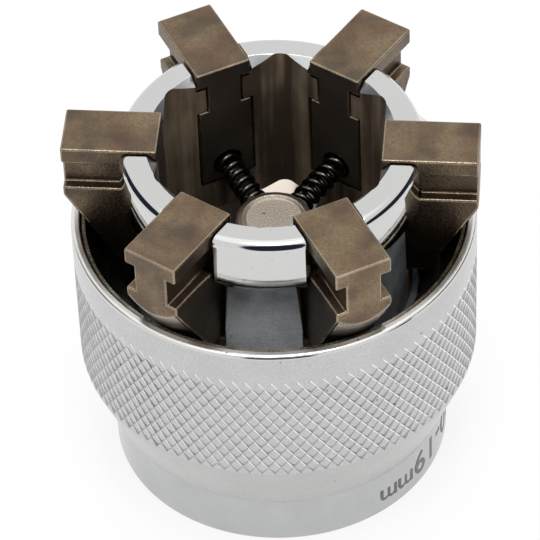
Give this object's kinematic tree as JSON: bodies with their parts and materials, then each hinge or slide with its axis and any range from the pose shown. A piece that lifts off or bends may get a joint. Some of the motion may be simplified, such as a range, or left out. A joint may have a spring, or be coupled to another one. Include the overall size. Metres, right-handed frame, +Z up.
{
  "type": "adjustable drive socket",
  "caption": "Adjustable drive socket: turning the knurled sleeve lifts a cone that slides sprung jaws in along slots in a round core to grip a nut; a square recess in its foot takes a ratchet.",
  "frame": {"origin": "centre of the foot, on the surface that the socket stands on, jaws up", "axes": "+Z up along the turning axis, +X along the first jaw"},
  "size_m": [0.0362, 0.0358, 0.0355],
  "materials": {
    "polished_chrome": "polished chrome plate on the ring and neck, satin on the foot",
    "satin_chrome": "satin chrome plate over a diamond knurl",
    "hardened_steel": "ground, lightly oiled",
    "brown_oxide": "brown oxide, tumbled, worn bright on the edges",
    "black_spring_steel": "black, oiled",
    "blasted_steel": "grit blasted",
    "black_oxide": "black oxide"
  },
  "bodies": {
    "core_body": {"core": "polished_chrome", "spring_hub": "blasted_steel", "hub_screw": "black_oxide", "hub_lock_washer": "black_oxide", "jaw_spring_1": "black_spring_steel", "jaw_spring_2": "black_spring_steel", "jaw_spring_3": "black_spring_steel", "jaw_spring_4": "black_spring_steel", "jaw_spring_5": "black_spring_steel", "jaw_spring_6": "black_spring_steel"},
    "taper_ring_body": {"taper_ring": "hardened_steel"},
    "sleeve_body": {"knurled_sleeve": "satin_chrome"},
    "jaw_1_body": {"jaw_1": "brown_oxide"},
    "jaw_2_body": {"jaw_2": "brown_oxide"},
    "jaw_3_body": {"jaw_3": "brown_oxide"},
    "jaw_4_body": {"jaw_4": "brown_oxide"},
    "jaw_5_body": {"jaw_5": "brown_oxide"},
    "jaw_6_body": {"jaw_6": "brown_oxide"}
  },
  "joints": [
    {"name": "sleeve_lift", "type": "slide", "parent": "core_body", "child": "taper_ring_body", "axis": [0, 0, 1], "range_m": [0, 0.00815]},
    {"name": "sleeve_turn", "type": "hinge", "parent": "taper_ring_body", "child": "sleeve_body", "pos_m": [0, 0, 0.0159], "axis": [0, 0, 1], "range_deg": [0, 1465.2]},
    {"name": "jaw_1_slide", "type": "slide", "parent": "core_body", "child": "jaw_1_body", "axis": [-1, 0, 0], "range_m": [0, 0.0047], "deforming": ["jaw_spring_1"]},
    {"name": "jaw_2_slide", "type": "slide", "parent": "core_body", "child": "jaw_2_body", "axis": [-0.5, -0.866, 0], "range_m": [0, 0.0047], "deforming": ["jaw_spring_2"]},
    {"name": "jaw_3_slide", "type": "slide", "parent": "core_body", "child": "jaw_3_body", "axis": [0.5, -0.866, 0], "range_m": [0, 0.0047], "deforming": ["jaw_spring_3"]},
    {"name": "jaw_4_slide", "type": "slide", "parent": "core_body", "child": "jaw_4_body", "axis": [1, 0, 0], "range_m": [0, 0.0047], "deforming": ["jaw_spring_4"]},
    {"name": "jaw_5_slide", "type": "slide", "parent": "core_body", "child": "jaw_5_body", "axis": [0.5, 0.866, 0], "range_m": [0, 0.0047], "deforming": ["jaw_spring_5"]},
    {"name": "jaw_6_slide", "type": "slide", "parent": "core_body", "child": "jaw_6_body", "axis": [-0.5, 0.866, 0], "range_m": [0, 0.0047], "deforming": ["jaw_spring_6"]}
  ],
  "couplings": [
    {"joint": "sleeve_lift", "follows": "sleeve_turn", "m_per_rad": 0.00031831},
    {"joint": "jaw_1_slide", "follows": "sleeve_turn", "m_per_rad": 0.00018378},
    {"joint": "jaw_2_slide", "follows": "sleeve_turn", "m_per_rad": 0.00018378},
    {"joint": "jaw_3_slide", "follows": "sleeve_turn", "m_per_rad": 0.00018378},
    {"joint": "jaw_4_slide", "follows": "sleeve_turn", "m_per_rad": 0.00018378},
    {"joint": "jaw_5_slide", "follows": "sleeve_turn", "m_per_rad": 0.00018378},
    {"joint": "jaw_6_slide", "follows": "sleeve_turn", "m_per_rad": 0.00018378}
  ]
}
